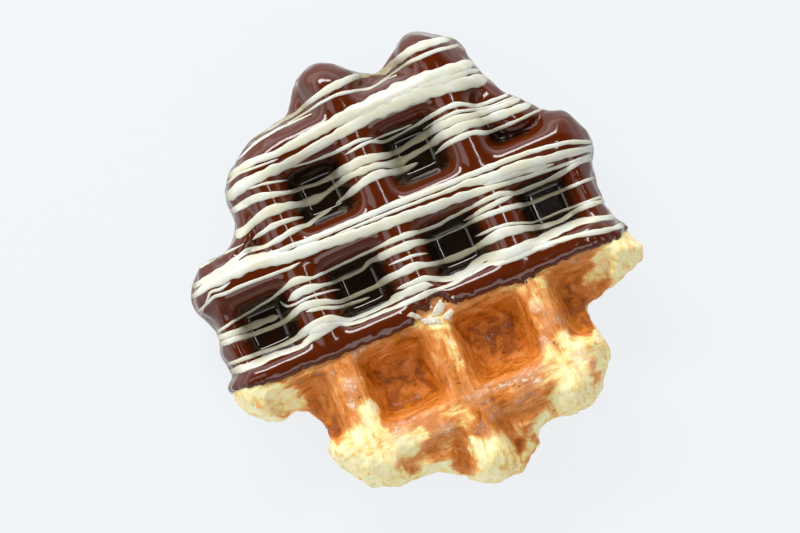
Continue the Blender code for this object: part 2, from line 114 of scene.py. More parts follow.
# The drizzle, strand by strand: (x, y, width) on the plane of the rib tops. A strand whose end is near the
# outline runs over the side.
STRANDS_MM = (
    ((-26, 42.8, .5), (-16, 44.2, .7), (-11, 44.8, .9), (-6, 46.2, 1.4), (0, 47.2, 2.0), (6, 47.2, 1.7),
     (9, 46.3, 1.6), (13, 45.6, 1.6), (17, 46.8, 2.0), (22, 47.8, 2.2), (27, 47.5, 1.9), (31.5, 46.5, 1.5)),
    ((-28, 40.2, .4), (-22, 42.2, .6), (-16, 42.9, .5), (-12, 43, .4)),
    ((-9, 43.9, .5), (-3, 44.8, .8), (2, 44.7, .9), (7.5, 43.4, .7), (11, 43.5, .4)),
    ((14, 44.2, .5), (18, 45, .8), (22, 45.3, 1.1), (27, 45.2, 1.0), (32.5, 44.3, .8)),
    ((-33, 36.6, 1.1), (-30, 37.5, 1.5), (-25, 38, 1.9), (-20, 37.6, 1.8), (-15, 37.9, 2.2), (-10, 38.4, 2.6),
     (0, 39.2, 3.0), (10, 39.6, 3.9), (20, 39.9, 4.0), (30, 39.2, 3.0), (34, 38.8, 2.2)),
    ((-35.5, 31.8, 2.8), (-30, 33.6, 3.2), (-24, 34, 2.8), (-17, 34.2, 2.2), (-9, 35.2, 2.4), (0, 36.2, 3.0),
     (10, 37.1, 3.8), (20, 36.9, 4.0), (30, 35.1, 3.4), (36, 33.5, 2.6)),
    ((-34, 35.3, .5), (-30, 36.6, .7), (-25, 36.4, .6), (-19, 36.2, .4)),
    ((-2, 37.7, 1.2), (6, 38.2, 2.6), (14, 38.6, 3.0), (20, 38.5, 3.4), (27, 37.7, 3.0), (31, 37.3, 1.6)),
    ((24, 39.4, 1.6), (31, 37.6, 1.3), (35, 36.4, 1.1)),
    ((-30, 32.4, .4), (-25, 31.8, .7), (-19, 30.4, .4)),
    ((-17, 32.9, .4), (-12, 32.3, .5), (-6, 32.1, .9), (0, 32.4, 1.0), (4, 31.7, .4)),
    ((-4, 30.6, .4), (0, 31, .9), (3, 31, .9), (6, 29.7, .9), (10, 29.8, .5), (15, 30.3, .7), (20, 31, 1.2),
     (25, 31.2, 1.3), (28, 30.2, 1.1), (31, 28.6, 1.0), (38, 28.3, .9), (40, 28, .8)),
    ((3, 31.2, .3), (8, 31, .5), (14, 30.9, .4)),
    ((16, 28.6, .4), (20, 29.1, .9), (25, 29.3, 1.0), (28, 28.6, .9), (32, 27.4, .8), (41, 26.9, .7)),
    ((-35, 28.7, 1.5), (-32, 29.2, 2.0), (-29, 29.4, 2.1), (-26, 29.1, 1.9), (-23, 28.3, 1.4),
     (-20, 27.6, 1.2), (-13, 26.8, 1.0), (-8, 27, 1.8), (-2, 27.5, 2.4), (0, 27.4, 2.4), (3, 27, 1.8),
     (6, 26.2, 1.4),
     (10, 26.4, 1.4), (15, 27.1, 2.0), (20, 27.7, 2.4), (25, 27.5, 2.2), (28, 26.9, 1.8), (35, 26.3, 1.5),
     (41, 26, 1.2)),
    ((-37, 23.0, 2.0), (-34, 23.3, 2.2), (-31, 24.3, 2.0), (-28, 25, 2.5), (-25, 25, 2.6), (-22, 24.6, 2.0),
     (-19, 23.8, 1.8), (-15, 23.4, 2.2), (-12, 23.7, 1.2), (-8, 24.8, 1.5), (-5, 25.3, 1.8), (1, 25.2, 1.8),
     (4, 24.4, 1.4), (7, 23.6, 2.2), (12, 23.9, 1.4), (17, 24.7, 1.8), (20, 25.3, 2.4), (27, 25.3, 2.4),
     (30, 24.7, 2.2), (36, 24.2, 2.2), (43, 23.7, 1.8)),
    ((-33, 20.4, .8), (-30, 21, 1.1), (-27, 21.5, 1.4), (-23, 21.3, 1.1), (-19, 20.4, .7)),
    ((-11, 20.2, .7), (-7, 21.2, 1.4), (-4, 22.1, 1.9), (-1, 22.8, 2.2), (2, 22.8, 2.2), (4, 22.2, 1.6),
     (8, 21.4, 1.6), (12, 21.6, .8)),
    ((16, 21.8, .5), (20, 22.9, 1.3), (24, 23.2, 1.5), (27, 22.9, 1.4), (30, 21.7, 1.1), (35, 21.4, .9),
     (44, 21.6, .7)),
    ((-49.5, 18.4, .8), (-47, 19.3, 1.1), (-44, 19.7, 1.1), (-40, 20, .7)),
    ((-50, 15.7, 1.4), (-44, 16.3, 1.7), (-41, 17, 1.5), (-38, 17.8, 1.3), (-35, 18.4, 1.3),
     (-31, 17.7, 1.0), (-27, 17.9, 1.5), (-24, 18.4, 1.6), (-21, 18.6, 1.4), (-19, 18.3, 1.0),
     (-16, 19.2, .9), (-12, 19.6, .6)),
    ((-50, 13.8, 1.6), (-47, 14.4, 2.2), (-41, 15, 3.4), (-38, 15.2, 3.8), (-35, 15.1, 3.8), (-32, 14.5, 3.6),
     (-29, 13.6, 3.4), (-26, 13, 3.2), (-22, 12.8, 3.0), (-18, 12.5, 2.8), (-10, 11.6, 2.8), (0, 10.8, 2.8),
     (10, 10.1, 2.5), (20, 9.4, 2.1), (28, 8.4, 1.3), (36, 7.6, 1.1), (44, 6.8, .9), (52, 6.3, 1.0)),
    ((-34, 16.6, .6), (-29, 15.4, 1.0), (-25, 15.1, 1.3), (-20, 14.8, 1.5), (0, 14.5, 1.6), (20, 13.8, 1.5),
     (35, 13.3, 1.4), (40, 12.7, 1.3), (45, 12, 1.2), (48, 11.3, 1.1), (52, 9.6, 1.0)),
    ((-14, 13.4, .4), (-5, 13.2, .8), (5, 12.9, .9), (14, 12.4, 1.0), (20, 12.2, 1.6), (24, 11.5, 2.2),
     (28, 11, 2.8), (32, 11, 2.8), (36, 10.6, 2.5), (40, 9.9, 2.3), (45, 9.2, 2.0), (49, 8.5, 1.8),
     (52.4, 7.8, 1.4)),
    ((24, 10.2, 1.6), (31, 10, 2.0), (36, 8.9, 1.4), (42, 8, .7)),
    ((-49, 10.6, .7), (-47, 11.3, .8), (-44, 11, .9), (-36, 10.9, .9), (-28, 10.4, .8), (-24, 10.6, .5)),
    ((-49, 11.2, .5), (-47.5, 12.6, .7), (-45, 12.4, .7), (-42, 13, .5)),
    ((-50, 2.6, .7), (-49, 3.2, .8), (-45, 3.9, .7), (-40, 4.5, .6), (-35, 5.2, .7), (-31, 6.2, 1.2),
     (-28, 6.9, 1.8), (-26, 6.7, 1.6), (-24, 6.1, 1.1), (-22, 5.9, .8), (-14, 6.2, .7), (-7, 6.4, .8),
     (0, 6.5, 1.5), (3, 6.2, 1.4), (6, 5.8, .9), (10, 5.6, .8), (14, 6, .8), (20, 6.4, .9), (26, 6.6, 1.5),
     (28, 6.2, 1.4), (31, 5.1, 1.1), (38, 4.9, 1.1), (42, 5.1, 1.3), (48, 5.9, 1.3), (52, 5.4, 1.1)),
    ((-31, 3.2, 1.0), (-28, 3.9, 2.2), (-25, 3.9, 2.2), (-22, 3.3, 1.0), (-19, 2.9, .9), (-12, 2.9, .9),
     (-9, 4, 1.2), (-5, 4, 2.0), (0, 4, 2.2), (3, 3.8, 1.8), (6, 3, .9), (10, 2.7, .5), (15, 2.8, .5),
     (18, 3.1, 1.1), (24, 2.9, 1.5), (29, 2.3, 1.2), (32, 1.7, 1.1), (36, 1.4, 1.0), (51, 1, .9)),
    ((16, 4, .4), (19, 4.3, .9), (22, 4.6, 1.3), (26, 4.9, 1.2), (30, 4.9, .8)),
    ((-32.8, 3.9, .5), (-32.3, 2.6, .6), (-31, 1.8, .6), (-26, 1.9, .7), (-22, 1.5, .6), (-18, .6, .4)),
    ((-51, 1.7, 1.5), (-46, 1.2, 1.7), (-40, 1, 1.8), (-36, .8, 1.5), (-34, .7, .6)),
    ((-51.5, -.1, 1.6), (-47, -.2, 1.5), (-42, -.9, 1.2), (-36, -1.2, 1.2), (-33, -.9, 1.4), (-29, .3, 1.9),
     (-26, .1, 1.9), (-23, -.6, 1.5), (-20, -1.9, 1.1), (-17, -2.2, 1.1), (-11, -2.2, 1.2), (-8, -1.9, 1.6),
     (-5, -1.5, 2.0), (0, -1.5, 2.1), (2, -1.8, 1.6), (4, -2.4, 1.3), (7, -3.1, 1.2), (10, -3.4, 1.8),
     (13, -3.4, 1.6), (17, -3.1, 1.5), (19, -2.8, 2.0), (22, -2.5, 2.6), (25, -2.7, 2.6), (28, -3.4, 2.0),
     (31, -4.4, 1.6), (35, -5.2, 1.3), (38, -5.4, 1.2), (44, -4.6, 1.3), (51, -5.4, 1.1)),
    ((-28, -1, .9), (-24, -1.8, 1.1), (-21, -3, .9), (-18, -3.6, .9), (-12, -4, .7)),
    ((-5, 1.3, .5), (0, 1.2, .9), (2, 1, .8), (5, .2, .5)),
    ((17, -.7, .5), (22, -.7, .8), (26, -1.2, .9), (29, -2.2, .7), (32, -3.2, .6), (40, -3.5, .7),
     (51, -4.1, .7)),
    ((-51, -5.2, .9), (-42, -5.8, 1.1), (-37, -6.1, 1.0), (-33, -6.1, 1.1), (-31, -5.6, 1.7),
     (-29, -5, 2.1), (-26, -4.8, 2.2), (-23, -5.2, 2.0), (-20, -6.8, 1.2), (-17, -7.3, 1.0), (-9, -7.2, 1.1),
     (-7, -6.7, 1.9), (-3, -6.6, 2.3), (1, -6.8, 1.8), (3, -7.6, .6)),
    ((-51.5, -7.3, 1.8), (-44, -7.8, 1.8), (-40, -7.7, 1.5), (-33, -8.3, 1.2), (-31, -7.9, 1.6),
     (-27, -7, 2.4), (-22, -6.8, 1.6), (-20, -7.8, 1.0), (-17, -8.4, .9), (-8, -8.7, 1.0), (-3, -8.8, 1.5),
     (2, -8.8, 1.2), (5, -8.8, .5)),
    ((-30, -6.1, 1.4), (-27, -6.1, 3.0), (-24, -6.3, 2.2), (-21, -7.2, .8)),
    ((-5.5, -4.8, .8), (0, -5, 1.6), (2, -5.2, 1.6), (4, -6.2, 1.4), (6, -7.2, 1.4), (9, -7.9, 1.7),
     (12, -7.8, 2.0), (15, -6.8, 2.0), (17, -6.3, 1.8), (19, -6.9, 2.6), (22, -7.7, 3.0), (26, -7.9, 2.8),
     (33, -7.7, 2.1), (38, -7.6, 1.9), (42, -7.6, 1.8), (45, -8.3, 1.6), (50, -9.8, 1.4)),
    ((0, -8, .7), (3, -8.8, 1.0), (8, -9, 1.0), (17, -8.1, 1.2), (20, -9, 1.4), (26, -9.4, 1.6),
     (30, -9.3, 1.5), (35, -9.7, 1.3), (40, -10.4, 1.2), (44, -11.3, 1.4), (48, -12.2, 1.4),
     (51.5, -12.5, 1.2)),
)

# How the drizzle is laid: its tapering tips, how far it runs past the outline, the plane of the places above,
# the shares of a strand's width that are tried where the coat ends, and the least width.
STRAND_TIP = 1.6 * MM
STRAND_REACH = 5.0 * MM
STRAND_PLANE = HEIGHT + 0.5 * MM
STRAND_FITS = (0.15, 0.35, 0.55, 0.75, 1.0)
THINNEST_STRAND = 0.3 * MM

# Where the rim stayed pale, and where it took the most colour: x, y and radius.
PALE_MM = (
    (-19, -40.5, 7.5), (-27, -37, 8.5), (-24.5, -31, 4), (-28, -44, 8), (26.5, -40, 9.5), (29, -34, 5),
    (22, -45, 6), (49, -19, 9), (43, -20, 5), (-47, -17.5, 8), (-40, -18.5, 4), (0, -53, 9), (-3, -48, 5),
    (9, -53, 4), (0, -15.5, 4),
)
BROWN_MM = (
    (30.5, -43.5, 2.2), (33, -27, 5), (0, -43.5, 4), (-33, -28, 4), (6, -38, 5),
)

# The chipped place on the middle rib: x, y and radius, and then each broken bit's corners, with x, y and
# height over what it lies on.
CHIPPED_MM = ((0, -12.5, 7),)
CHIPS_MM = (
    ((3.1, -11.3, 1.3), (3.7, -13.2, .6), (2.4, -14.6, .3), (-.3, -14.2, .3), (.9, -12.7, .9)),
    ((-6.0, -11.9, 1.0), (-4.7, -11.5, 1.0), (-3.1, -12.6, .6), (-2.6, -13.8, .3), (-4.3, -13.3, .4)),
    ((-3.5, -13.9, .4), (-1.0, -14.1, .6), (1.0, -15.2, .5), (1.5, -17.1, .2), (.1, -16.3, .3),
     (-2.6, -15.4, .3)),
    ((2.2, -15.1, .5), (4.6, -14.4, .5), (5.1, -15.5, .3), (3.1, -16.6, .2), (1.9, -16.1, .3)),
    ((-.2, -12.3, .7), (.4, -11.7, .9), (.8, -12.4, .5)),
    ((5.6, -12.0, .7), (6.4, -11.8, .8), (6.2, -12.7, .5)),
    ((-7.6, -10.6, .6), (-7.0, -10.2, .8), (-6.8, -10.9, .5)),
)

# Where the swollen side was pressed lightly and only took a tan: x, y and radius.
TAN_MM = ((-12, -45.5, 9), (11.5, -45, 9), (-30, -21, 5), (38, -20, 5))

# The crust's colours, and how baked the dough is where each one shows.
BAKE_STEPS = {
    "cream": 0.0, "straw": 0.17, "gold": 0.34, "tan": 0.5, "brown": 0.66, "russet": 0.82, "dark": 1.0,
}
FULL_BAKE_INSET = 9.0 * MM

# Spots of caramelised glaze, glossy and lightened with a painted highlight: x, y and radius.
SUGAR_HIGHLIGHT_MM = (
    (2.5, -36.2, 1.3), (4.5, -36.4, 1.3), (6.5, -36.6, 1.3), (8.5, -36.6, 1.3), (10.5, -36.4, 1.3),
    (12.5, -36.3, 1.4), (14.5, -36.5, 1.4), (16.5, -36.6, 1.3), (18.5, -36.9, 1.4), (20.5, -37.2, 1.4),
    (17, -39.5, 1.6), (-19, -38, 3), (-23, -42, 2.5), (29, -38, 3), (-25, -21, 2.5), (24, -22, 2.5),
    (-8, -41, 2.5), (22, -31, 2.5), (-5.5, -30, 1.2), (1, -22, 1.4), (-26.5, -26, 1.6),
)

# The window at the back, soft fills in front and at the left, and a bare tube overhead: name, place, size in
# metres, and power in watts.
LIGHTS = (
    ("soft_back", (-0.05, 0.72, 0.6), (0.75, 0.18), 7.6),
    ("soft_front", (0.0, -0.6, 0.75), (0.8, 0.4), 2.4),
    ("soft_left", (-0.45, 0.1, 0.75), (0.35, 0.5), 1.1),
    ("tube_top", (0.22, 0.0, 0.9), (0.35, 0.03), 0.8),
)


# Shapes


def smoothstep(value):
    share = np.clip(value, 0.0, 1.0)
    return share * share * (3.0 - 2.0 * share)


def smooth_min(a, b, width):
    """The lower of two heights, with the crease between them rounded over width."""
    share = np.clip(0.5 + 0.5 * (b - a) / width, 0.0, 1.0)
    return b + (a - b) * share - width * share * (1.0 - share)


def smooth_through(points, steps, closed):
    """A Catmull-Rom curve through rows of numbers, with steps points for each span."""
    points = np.asarray(points, float)
    if closed:
        before, after, ahead = (np.roll(points, shift, 0) for shift in (1, -1, -2))
        start = points
    else:
        padded = np.vstack((2 * points[0] - points[1], points, 2 * points[-1] - points[-2]))
        before, start, after, ahead = padded[:-3], padded[1:-2], padded[2:-1], padded[3:]
    spans = []
    for share in np.arange(steps) / steps:
        spans.append(
            0.5
            * (
                2 * start
                + (after - before) * share
                + (2 * before - 5 * start + 4 * after - ahead) * share**2
                + (3 * start - 3 * after + ahead - before) * share**3
            )
        )
    curve = np.stack(spans, 1).reshape(-1, points.shape[1])
    return curve if closed else np.vstack((curve, points[-1]))


def dip_y(x):
    """Where the coat ends across the waffle, at each x."""
    line = np.array(DIP_LINE_MM) * MM
    return np.interp(x, line[:, 0], line[:, 1])


def dough_outline(inset):
    """The dough's own outline: the one seen, drawn in by the coat where chocolate covers it."""
    seen = smooth_through(np.array(OUTLINE_MM) * MM, OUTLINE_STEPS, closed=True)
    rim = OUTLINE_MIDDLE + (seen - OUTLINE_MIDDLE) * OUTLINE_SCALE + OUTLINE_SHIFT
    along = np.roll(seen, -1, 0) - np.roll(seen, 1, 0)
    along /= np.linalg.norm(along, axis=1)[:, None]
    inward = np.stack((-along[:, 1], along[:, 0]), 1)
    coated = smoothstep((seen[:, 1] - dip_y(seen[:, 0])) / (3 * MM) + 0.5)
    return rim + inward * (coated * inset)[:, None]


def inside_distance(points, outline):
    """How far each point lies inside the outline, negative outside, and the nearest point on it."""
    start, end = outline, np.roll(outline, -1, 0)
    best = np.full(len(points), np.inf)
    nearest = np.zeros_like(points)
    crossings = np.zeros(len(points), int)
    for a, b, ab in zip(start, end, end - start):
        share = np.clip((points - a) @ ab / (ab @ ab), 0, 1)
        foot = a + share[:, None] * ab
        away = np.linalg.norm(points - foot, axis=1)
        closer = away < best
        best[closer] = away[closer]
        nearest[closer] = foot[closer]
        spans = (a[1] > points[:, 1]) != (b[1] > points[:, 1])
        if a[1] != b[1]:
            cross_x = a[0] + (points[:, 1] - a[1]) * ab[0] / ab[1]
            crossings += spans & (points[:, 0] < cross_x)
    return np.where(crossings % 2 == 1, best, -best), nearest


def pocket_share(x, y):
    """1 on a pocket's floor, 0 on a rib, and even slopes between; less in a shallow dent."""
    from_middle_x = np.abs((x - RIB_CENTRE[0]) % PITCH - PITCH / 2)
    from_middle_y = np.abs((y - RIB_CENTRE[1]) % PITCH - PITCH / 2)
    power = POCKET_CORNER_POWER
    from_middle = (from_middle_x**power + from_middle_y**power) ** (1 / power)
    slope = (POCKET_MOUTH / 2 - from_middle) * 2 / (POCKET_MOUTH - POCKET_FLOOR)
    share = -smooth_min(-smooth_min(slope, 1.0, POCKET_EDGE), 0.0, POCKET_EDGE)
    for middle_x, middle_y, radius, lost in np.array(SHALLOW_MM) * (MM, MM, MM, 1):
        away = np.hypot(x - middle_x, y - middle_y)
        share = share * (1 - lost * smoothstep(2 - 2 * away / radius))
    return share


def free_and_pressed(x, y, inside):
    """Half the thickness of the free dough, and half that of the gap in the iron."""
    rim = np.clip(inside / RIM_WIDTH, 0.0, 1.0)
    free = (HEIGHT / 2 + SWELL) * np.sqrt(1 - (1 - rim) ** 2)
    return free, HEIGHT / 2 - POCKET_DEPTH * pocket_share(x, y)


def half_thickness(x, y, inside):
    free, pressed = free_and_pressed(x, y, inside)
    return np.where(inside <= 0, 0.0, np.maximum(smooth_min(free, pressed, SOFTENING), 0.0))


def fractal(points, size, octaves=3, seed=0.0):
    """Fractal noise at each point, about -1 to 1, whose largest lumps are about size across."""
    shift = Vector((seed, seed * 1.7, seed * 0.6))
    return np.array([noise.fractal(Vector(point) / size + shift, 0.8, 2.0, octaves) for point in points])


# Meshes


def new_object(name, mesh):
    obj = bpy.data.objects.new(name, mesh)
    bpy.context.scene.collection.objects.link(obj)
    return obj


def coordinates(mesh):
    values = np.empty(len(mesh.vertices) * 3)
    mesh.vertices.foreach_get("co", values)
    return values.reshape(-1, 3)


def normals(mesh):
    values = np.empty(len(mesh.vertices) * 3)
    mesh.vertex_normals.foreach_get("vector", values)
    return values.reshape(-1, 3)


def set_coordinates(mesh, points):
    mesh.vertices.foreach_set("co", np.asarray(points, np.float32).ravel())
    mesh.update()


def set_attribute(mesh, name, values):
    attribute = mesh.attributes.new(name, "FLOAT", "POINT")
    attribute.data.foreach_set("value", np.asarray(values, np.float32))


def apply_modifiers(obj):
    """Replaces the object's mesh with the one its modifiers give."""
    graph = bpy.context.evaluated_depsgraph_get()
    mesh = bpy.data.meshes.new_from_object(obj.evaluated_get(graph))
    obj.modifiers.clear()
    obj.data = mesh


def remesh(obj, voxel, smooth_rounds):
    skin = obj.modifiers.new("skin", "REMESH")
    skin.mode = "VOXEL"
    skin.voxel_size = voxel
    soft = obj.modifiers.new("soft", "SMOOTH")
    soft.factor = 0.5
    soft.iterations = smooth_rounds
    apply_modifiers(obj)


def thin_out(obj, triangles, hidden=()):
    """Leaves about this many triangles, and takes them first from the hidden vertices, if any are given."""
    fewer = obj.modifiers.new("fewer", "DECIMATE")
    if len(hidden):
        group = obj.vertex_groups.new(name="hidden")
        group.add([int(index) for index in hidden], 1.0, "REPLACE")
        fewer.vertex_group = group.name
    obj.data.calc_loop_triangles()
    fewer.ratio = min(1.0, triangles / len(obj.data.loop_triangles))
    apply_modifiers(obj)
    obj.vertex_groups.clear()


def keep_main_body(obj):
    """Deletes every loose bit but the largest body."""
    bm = bmesh.new()
    bm.from_mesh(obj.data)
    left, bodies = set(bm.verts), []
    while left:
        body, fresh = [], [left.pop()]
        while fresh:
            vert = fresh.pop()
            body.append(vert)
            joined = {edge.other_vert(vert) for edge in vert.link_edges} & left
            left -= joined
            fresh.extend(joined)
        bodies.append(body)
    for body in sorted(bodies, key=len)[:-1]:
        bmesh.ops.delete(bm, geom=body, context="VERTS")
    bm.to_mesh(obj.data)
    bm.free()


def boolean(obj, other, operation):
    step = obj.modifiers.new(operation.lower(), "BOOLEAN")
    step.operation = operation
    step.solver = "MANIFOLD"
    step.object = other
    apply_modifiers(obj)
    bpy.data.objects.remove(other)


def smooth_dough(cell):
    """The dough in the measuring frame: two sheets of a fine grid that meet at the outline, remeshed."""
    outline = dough_outline(DIP_INSET)
    low, high = outline.min(0) - cell, outline.max(0) + cell
    counts = np.ceil((high - low) / cell).astype(int)
    bm = bmesh.new()
    bmesh.ops.create_grid(bm, x_segments=counts[0], y_segments=counts[1], size=0.5)
    flat = low + (np.array([vert.co[:2] for vert in bm.verts]) + 0.5) * counts * cell
    inside, _ = inside_distance(flat, outline)
    for vert, place in zip(bm.verts, flat):
        vert.co = (place[0], place[1], 0.0)
    outside = [vert for vert, depth in zip(list(bm.verts), inside) if depth < cell / 3]
    bmesh.ops.delete(bm, geom=outside, context="VERTS")
    bmesh.ops.delete(bm, geom=[vert for vert in bm.verts if not vert.link_faces], context="VERTS")
    flat = np.array([vert.co[:2] for vert in bm.verts])
    inside, nearest = inside_distance(flat, outline)
    height = half_thickness(flat[:, 0], flat[:, 1], inside)
    for vert, half, edge_point in zip(bm.verts, height, nearest):
        if vert.is_boundary:
            vert.co = (edge_point[0], edge_point[1], 0.0)
        else:
            vert.co.z = half
    under = bmesh.ops.duplicate(bm, geom=bm.verts[:] + bm.faces[:])["geom"]
    for item in under:
        if isinstance(item, bmesh.types.BMVert):
            item.co.z = -item.co.z
    bmesh.ops.remove_doubles(bm, verts=bm.verts, dist=cell / 100)
    bmesh.ops.recalc_face_normals(bm, faces=bm.faces)
    bmesh.ops.translate(bm, vec=(0, 0, HEIGHT / 2), verts=bm.verts)
    mesh = bpy.data.meshes.new("dough")
    bm.to_mesh(mesh)
    bm.free()
    dough = new_object("dough", mesh)
    remesh(dough, cell, smooth_rounds=4)
    points = coordinates(dough.data)
    inside, _ = inside_distance(points[:, :2], outline)
    free = 1 - smoothstep(inside / RIM_WIDTH)
    lumps = fractal(points, LUMP_SIZE)
    set_coordinates(dough.data, points + normals(dough.data) * (lumps * free * LUMP_HEIGHT)[:, None])
    return dough, outline


def to_row_frame(obj):
    """From the measuring frame to the row frame: centred, and lowered onto the table."""
    set_coordinates(obj.data, coordinates(obj.data) - (MIDDLE[0], MIDDLE[1], SEAT_CUT))


# Materials


def linear(*srgb):
    """A colour picked in 0 to 255, as the shader takes it."""
    parts = [value / 255 for value in srgb]
    return tuple(p / 12.92 if p <= 0.04045 else ((p + 0.055) / 1.055) ** 2.4 for p in parts) + (1.0,)


def colour(name, description, *srgb):
    return FloatVectorProperty(
        name=name, description=description, subtype="COLOR", size=4, min=0.0, max=1.0, default=linear(*srgb)
    )


class Field:
    """A shader socket that takes part in Python sums, so that maths reads as maths."""

    def __init__(self, tree, socket):
        self.tree, self.socket = tree, socket

    def _math(self, operation, *values):
        node = self.tree.nodes.new("ShaderNodeMath")
        node.operation = operation
        for slot, value in zip(node.inputs, values):
            if isinstance(value, Field):
                self.tree.links.new(value.socket, slot)
            else:
                slot.default_value = value
        return Field(self.tree, node.outputs[0])

    def __add__(self, other):
        return self._math("ADD", self, other)

    def __radd__(self, other):
        return self._math("ADD", other, self)

    def __sub__(self, other):
        return self._math("SUBTRACT", self, other)

    def __rsub__(self, other):
        return self._math("SUBTRACT", other, self)

    def __mul__(self, other):
        return self._math("MULTIPLY", self, other)

    def __rmul__(self, other):
        return self._math("MULTIPLY", other, self)

    def __truediv__(self, other):
        return self._math("DIVIDE", self, other)

    def __pow__(self, other):
        return self._math("POWER", self, other)

    def most(self, other):
        return self._math("MAXIMUM", self, other)

    def least(self, other):
        return self._math("MINIMUM", self, other)

    def rise(self, low, high):
        """0 below low, 1 above high, and smooth between."""
        node = self.tree.nodes.new("ShaderNodeMapRange")
        node.interpolation_type = "SMOOTHSTEP"
        node.inputs["From Min"].default_value = low
        node.inputs["From Max"].default_value = high
        self.tree.links.new(self.socket, node.inputs["Value"])
        return Field(self.tree, node.outputs[0])


class Paint:
    """The node tree of a material or a world, with one method for any node."""

    def __init__(self, owner, shader):
        owner.use_nodes = True
        self.owner, self.tree = owner, owner.node_tree
        self.shader = self.tree.nodes[shader]

    def node(self, kind, output=0, settings=(), **inputs):
        """Adds a node, sets its settings and inputs, and gives the named or numbered output."""
        made = self.tree.nodes.new("ShaderNode" + kind)
        for key, value in dict(settings).items():
            setattr(made, key, value)
        for key, value in inputs.items():
            self.feed(made.inputs[key.replace("_", " ")], value)
        return Field(self.tree, made.outputs[output])

    def feed(self, slot, value):
        if isinstance(value, Field):
            self.tree.links.new(value.socket, slot)
        else:
            slot.default_value = value

    def attribute(self, name):
        return self.node("Attribute", "Fac", {"attribute_name": name})

    def stretched(self, x, y, z):
        """Object coordinates in lumps of these lengths along each axis, for grain that runs one way."""
        place = self.node("TexCoord", "Object")
        return self.node("Mapping", 0, Vector=place, Scale=(1 / x, 1 / y, 1 / z))

    def noise(self, x, y, z, detail=3.0, roughness=0.55, distortion=0.0):
        """Noise about 0 to 1 whose lumps are about x, y and z across, in metres."""
        return self.node(
            "TexNoise", 0, Vector=self.stretched(x, y, z), Scale=1.0, Detail=detail, Roughness=roughness,
            Distortion=distortion,
        )

    def lumps(self, size, detail=3.0, roughness=0.55, distortion=0.0):
        return self.noise(size, size, size, detail, roughness, distortion)

    def mix(self, share, first, second):
        made = self.tree.nodes.new("ShaderNodeMix")
        made.data_type = "RGBA"
        self.feed(made.inputs["Factor"], share)
        self.feed(made.inputs[6], first)
        self.feed(made.inputs[7], second)
        return Field(self.tree, made.outputs[2])

    def ramp(self, share, stops):
        """Colours along a share: each stop is a position and a colour."""
        made = self.tree.nodes.new("ShaderNodeValToRGB")
        elements = made.color_ramp.elements
        while len(elements) < len(stops):
            elements.new(0.5)
        for element, (position, tint) in zip(elements, stops):
            element.position, element.color = position, tint
        self.feed(made.inputs[0], share)
        return Field(self.tree, made.outputs[0])

    def set(self, **inputs):
        for key, value in inputs.items():
            self.feed(self.shader.inputs[key.replace("_", " ")], value)

    def bump(self, height, distance, strength=1.0):
        self.set(Normal=self.node("Bump", 0, Height=height, Distance=distance, Strength=strength))


def new_finish(name):
    return Paint(bpy.data.materials.new(name), "Principled BSDF")


def crust_material(settings):
    """Dough from cream to dark brown along the "baked" attribute, with flaky streaks along the walls."""
    paint = new_finish("baked_crust")
    baked, sugar = paint.attribute("baked"), paint.attribute("sugar")
    level = paint.noise(6 * MM, 1.3 * MM, 2.5 * MM, 4.0, 0.6, 0.8)
    upright = paint.noise(1.3 * MM, 6 * MM, 2.5 * MM, 4.0, 0.6, 0.8)
    mottle = paint.lumps(2.4 * MM, 4.0, 0.6, 0.5)
    streaks = level + (upright - level) * paint.attribute("upright")
    streaks = streaks + (mottle - streaks) * paint.attribute("even")
    grain = paint.lumps(0.7 * MM, 3.0, 0.6)
    patches = paint.lumps(4.5 * MM, 3.0, 0.5, 0.8)
    share = baked + (streaks - 0.5) * 1.25 + (grain - 0.5) * 0.4 + (patches - 0.5) * 0.6
    tints = [getattr(settings, name)[:] for name in BAKE_STEPS]
    crust = paint.ramp(share, list(zip(BAKE_STEPS.values(), tints)))
    # The glaze spots get a real gloss, and their colour is mixed towards near white: a painted highlight.
    flecks = (grain + streaks - 1.0).rise(0.0, 0.2)
    shine = (sugar * (0.35 + flecks * 0.65) + flecks * 0.35).least(1.0)
    glaze_and_highlight = paint.mix(sugar * (0.2 + flecks * 0.7), crust, settings.sugar[:])
    paint.set(Base_Color=glaze_and_highlight, Roughness=0.62 - shine * 0.36, Coat_Weight=shine * 0.8)
    paint.set(Coat_Roughness=0.15, Subsurface_Weight=0.2, Subsurface_Scale=1.5 * MM)
    paint.set(Subsurface_Radius=(1.0, 0.55, 0.25), Specular_IOR_Level=0.3)
    paint.bump(streaks * 0.8 + grain * 0.3, 0.45 * MM, 0.7)
    return paint.owner


def chocolate_material(settings):
    """Glossy set dark chocolate: red-brown on the ribs; where it gathered in the pockets, painted shade makes
    it near black.
    """
    paint = new_finish("dark_chocolate_gloss")
    ripples = paint.lumps(4.0 * MM, 2.0, 0.5)
    grain = paint.lumps(0.9 * MM, 3.0, 0.6)
    tone = paint.lumps(8.0 * MM, 3.0, 0.5)
    # The depth attribute is a painted shade mask: the chocolate is mixed towards near black deep in the
    # pockets.
    depth = (paint.attribute("depth") + (tone - 0.5) * 0.5).most(0.0).least(1.0)
    chocolate = paint.mix(depth, settings.thin[:], settings.pooled_in_shade[:])
    roughness = settings.roughness + (grain - 0.4).most(0.0) * 0.15
    paint.set(Base_Color=chocolate, Roughness=roughness, Specular_IOR_Level=0.5)
    paint.bump(ripples * 0.8 + grain * 0.06, 0.25 * MM, 0.3)
    return paint.owner


